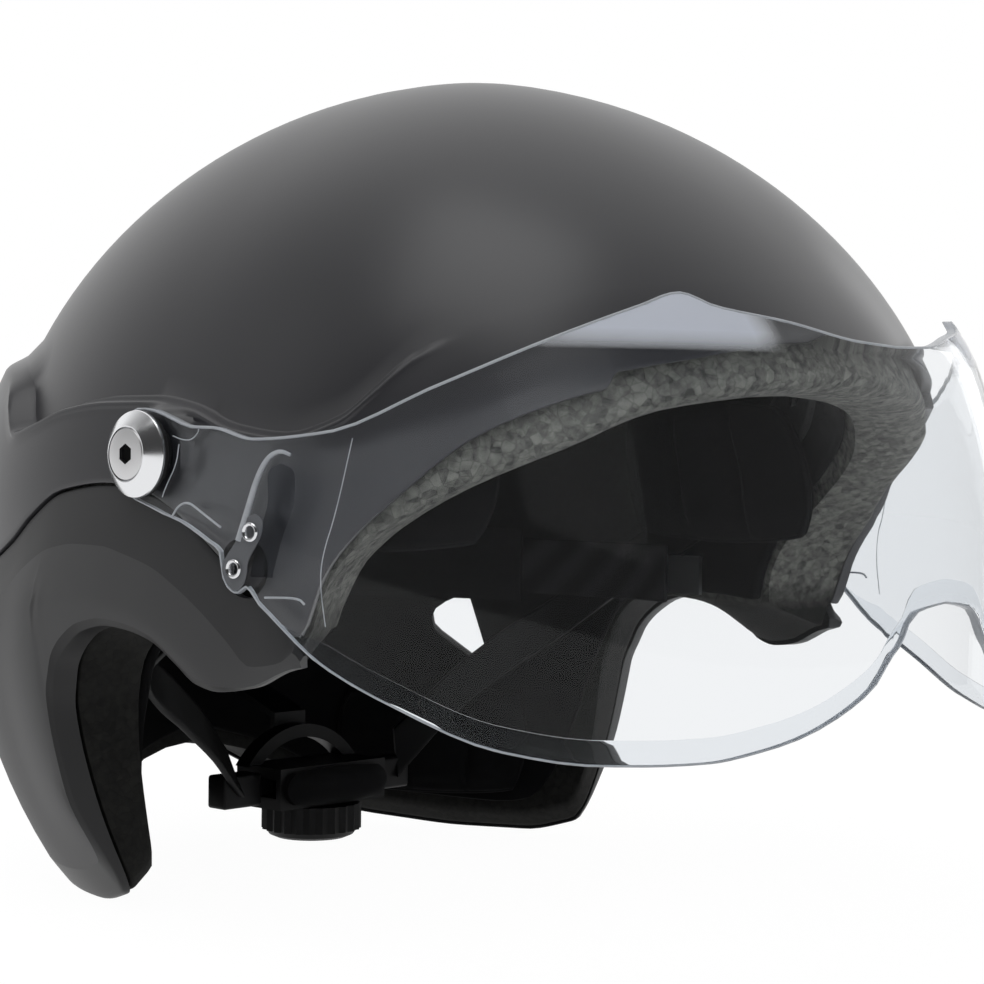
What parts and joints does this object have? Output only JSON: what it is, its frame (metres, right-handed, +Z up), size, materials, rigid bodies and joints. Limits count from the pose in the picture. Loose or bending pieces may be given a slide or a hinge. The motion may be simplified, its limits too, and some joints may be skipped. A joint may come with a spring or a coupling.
{
  "type": "commuter bicycle helmet with flip-up visor",
  "caption": "Commuter bicycle helmet with a clear flip-up face visor on side pivots, a stepped shell with rear vents, foam liner, pads, a dial-adjusted headband and a ratchet chin strap.",
  "frame": {"origin": "the middle of the wearer's head on the level line between the two visor pivots' height and the ears, at mount head_seat", "axes": "+Z up with the helmet worn level, -Y the way the wearer looks, +X towards the wearer's left"},
  "size_m": [0.262, 0.3144, 0.232],
  "materials": {
    "satin_shell": "satin",
    "wing_shell": "matte",
    "foam": "matte",
    "lining_fabric": "matte",
    "pad_fabric": "matte",
    "clear_lens": "gloss",
    "plated_steel": "polished",
    "magnet_black": "satin",
    "washer_rubber": "matte",
    "sleeve_nylon": "satin",
    "polished_cap": "polished",
    "screw_steel": "polished",
    "insert_brass": "satin",
    "band_nylon": "matte",
    "pin_nylon": "matte",
    "dial_plastic": "satin",
    "pinion_acetal": "satin",
    "rack_nylon": "satin",
    "anchor_steel": "satin",
    "webbing": "matte",
    "buckle_plastic": "satin"
  },
  "bodies": {
    "helmet": {"upper_shell": "satin_shell", "lower_shell": "wing_shell", "eps_liner": "foam", "comfort_lining": "lining_fabric", "pad_front": "pad_fabric", "pad_crown": "pad_fabric", "pad_side_right": "pad_fabric", "pad_side_left": "pad_fabric", "pad_lobe_right": "pad_fabric", "pad_lobe_left": "pad_fabric", "visor_bushings": "sleeve_nylon", "latch_magnets": "magnet_black", "pivot_washers_inner": "washer_rubber", "pivot_washers_outer": "washer_rubber", "pivot_caps": "polished_cap", "pivot_screws": "screw_steel", "pivot_inserts": "insert_brass", "headband": "band_nylon", "headband_pins": "pin_nylon", "cradle": "band_nylon", "cradle_pad": "pad_fabric", "hanger_strap": "band_nylon", "hanger_pin": "pin_nylon", "strap_anchors": "anchor_steel", "strap_right": "webbing", "strap_left": "webbing", "chin_pad": "pad_fabric", "buckle_body": "buckle_plastic", "buckle_pin": "screw_steel", "buckle_tongue": "buckle_plastic"},
    "visor": {"visor_lens": "clear_lens", "visor_eyelets": "plated_steel"},
    "dial": {"dial_knob": "dial_plastic", "dial_pinion": "pinion_acetal", "dial_screw": "screw_steel"},
    "rack_right_body": {"rack_right": "rack_nylon"},
    "rack_left_body": {"rack_left": "rack_nylon"},
    "lever": {"buckle_lever": "buckle_plastic"}
  },
  "joints": [
    {"name": "visor_hinge", "type": "hinge", "parent": "helmet", "child": "visor", "pos_m": [0, -0.0075, 0.001], "axis": [-1, 0, 0], "range_deg": [0, 100]},
    {"name": "dial_turn", "type": "hinge", "parent": "helmet", "child": "dial", "pos_m": [0, 0.065, -0.099], "axis": [0, 0, -1], "range_deg": [-68, 68]},
    {"name": "rack_right_slide", "type": "slide", "parent": "helmet", "child": "rack_right_body", "axis": [1, 0, 0], "range_m": [-0.006, 0.006]},
    {"name": "rack_left_slide", "type": "slide", "parent": "helmet", "child": "rack_left_body", "axis": [-1, 0, 0], "range_m": [-0.006, 0.006]},
    {"name": "buckle_lever_hinge", "type": "hinge", "parent": "helmet", "child": "lever", "pos_m": [-0.07063, 0.06152, -0.033], "axis": [0, 0, -1], "range_deg": [0, 35], "stiffness_Nm_per_rad": 0.02, "springref_deg": -11.46}
  ],
  "couplings": [
    {"joint": "rack_right_slide", "follows": "dial_turn", "m_per_rad": 0.005},
    {"joint": "rack_left_slide", "follows": "dial_turn", "m_per_rad": 0.005}
  ]
}
